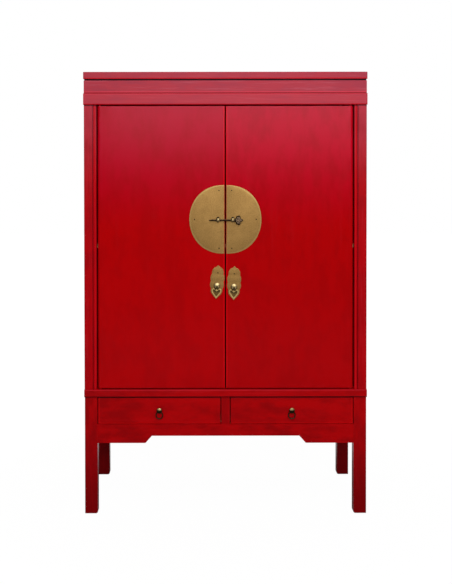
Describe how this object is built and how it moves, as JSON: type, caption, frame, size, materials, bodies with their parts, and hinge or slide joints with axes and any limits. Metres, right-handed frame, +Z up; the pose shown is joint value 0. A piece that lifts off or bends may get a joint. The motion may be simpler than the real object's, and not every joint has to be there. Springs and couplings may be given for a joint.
{
  "type": "wedding cabinet",
  "caption": "Tall cupboard on legs with hinged doors under a cornice, a round lock plate with a pin, heart-shaped pulls and drawers with rings below.",
  "frame": {"origin": "on the floor, under the middle of the cabinet's box with the doors shut", "axes": "+X to the right for someone who faces the doors, +Y from the doors to the back, +Z up"},
  "size_m": [1.2, 0.557, 1.8726],
  "materials": {
    "red_lacquer": "semi-gloss lacquer, worn at the edges",
    "plain_wood": "plain, unlacquered",
    "brass": "satin, aged",
    "bronze": "dark, aged",
    "nail_metal": "dull, aged"
  },
  "bodies": {
    "carcass": {"back_cornice": "red_lacquer", "back_panel": "plain_wood", "base_back_board": "plain_wood", "centre_runner": "plain_wood", "drawer_divider": "red_lacquer", "front_apron": "red_lacquer", "front_cornice": "red_lacquer", "left_back_leg": "red_lacquer", "left_back_post": "red_lacquer", "left_base_board": "red_lacquer", "left_cornice": "red_lacquer", "left_front_leg": "red_lacquer", "left_front_post": "red_lacquer", "left_runner": "plain_wood", "left_shelf_cleat": "plain_wood", "left_side_panel": "red_lacquer", "right_back_leg": "red_lacquer", "right_back_post": "red_lacquer", "right_base_board": "red_lacquer", "right_cornice": "red_lacquer", "right_front_leg": "red_lacquer", "right_front_post": "red_lacquer", "right_runner": "plain_wood", "right_shelf_cleat": "plain_wood", "right_side_panel": "red_lacquer", "shelf": "plain_wood", "top_board": "red_lacquer", "waist_board": "red_lacquer"},
    "left_door": {"left_door_panel": "red_lacquer", "left_door_battens": "plain_wood", "left_lock_plate": "brass", "left_plate_nails": "nail_metal", "left_lock_eye": "brass", "left_pull_plate": "brass", "left_pull_boss": "brass"},
    "left_pull": {"left_heart_pull": "bronze"},
    "left_drawer": {"left_drawer_front": "red_lacquer", "left_drawer_outer_side": "plain_wood", "left_drawer_inner_side": "plain_wood", "left_drawer_back": "plain_wood", "left_drawer_bottom": "plain_wood", "left_drawer_knob": "brass"},
    "left_ring": {"left_drawer_ring": "bronze"},
    "right_door": {"right_door_panel": "red_lacquer", "right_door_battens": "plain_wood", "right_lock_plate": "brass", "right_plate_nails": "nail_metal", "right_lock_eye": "brass", "right_pull_plate": "brass", "right_pull_boss": "brass"},
    "right_pull": {"right_heart_pull": "bronze"},
    "right_drawer": {"right_drawer_front": "red_lacquer", "right_drawer_outer_side": "plain_wood", "right_drawer_inner_side": "plain_wood", "right_drawer_back": "plain_wood", "right_drawer_bottom": "plain_wood", "right_drawer_knob": "brass"},
    "right_ring": {"right_drawer_ring": "bronze"},
    "lock_pin": {"lock_pin": "bronze"}
  },
  "joints": [
    {"name": "left_door_hinge", "type": "hinge", "parent": "carcass", "child": "left_door", "pos_m": [-0.531, -0.2455, 1.13055], "axis": [0, 0, -1], "range_deg": [0, 100]},
    {"name": "right_door_hinge", "type": "hinge", "parent": "carcass", "child": "right_door", "pos_m": [0.531, -0.2455, 1.13055], "axis": [0, 0, 1], "range_deg": [0, 100]},
    {"name": "lock_pin_slide", "type": "slide", "parent": "right_door", "child": "lock_pin", "axis": [1, 0, 0], "range_m": [0, 0.085]},
    {"name": "left_pull_hinge", "type": "hinge", "parent": "left_door", "child": "left_pull", "pos_m": [-0.03729, -0.2611, 0.9543], "axis": [-0.9968, 0, 0.0802], "range_deg": [0, 80]},
    {"name": "right_pull_hinge", "type": "hinge", "parent": "right_door", "child": "right_pull", "pos_m": [0.03567, -0.2611, 0.94972], "axis": [-0.9995, 0, 0.0332], "range_deg": [0, 80]},
    {"name": "left_drawer_slide", "type": "slide", "parent": "carcass", "child": "left_drawer", "axis": [0, -1, 0], "range_m": [0, 0.32]},
    {"name": "left_ring_hinge", "type": "hinge", "parent": "left_drawer", "child": "left_ring", "pos_m": [-0.28075, -0.2657, 0.4327], "axis": [-1, 0, 0], "range_deg": [0, 80]},
    {"name": "right_drawer_slide", "type": "slide", "parent": "carcass", "child": "right_drawer", "axis": [0, -1, 0], "range_m": [0, 0.32]},
    {"name": "right_ring_hinge", "type": "hinge", "parent": "right_drawer", "child": "right_ring", "pos_m": [0.28075, -0.2657, 0.4327], "axis": [-1, 0, 0], "range_deg": [0, 80]}
  ]
}
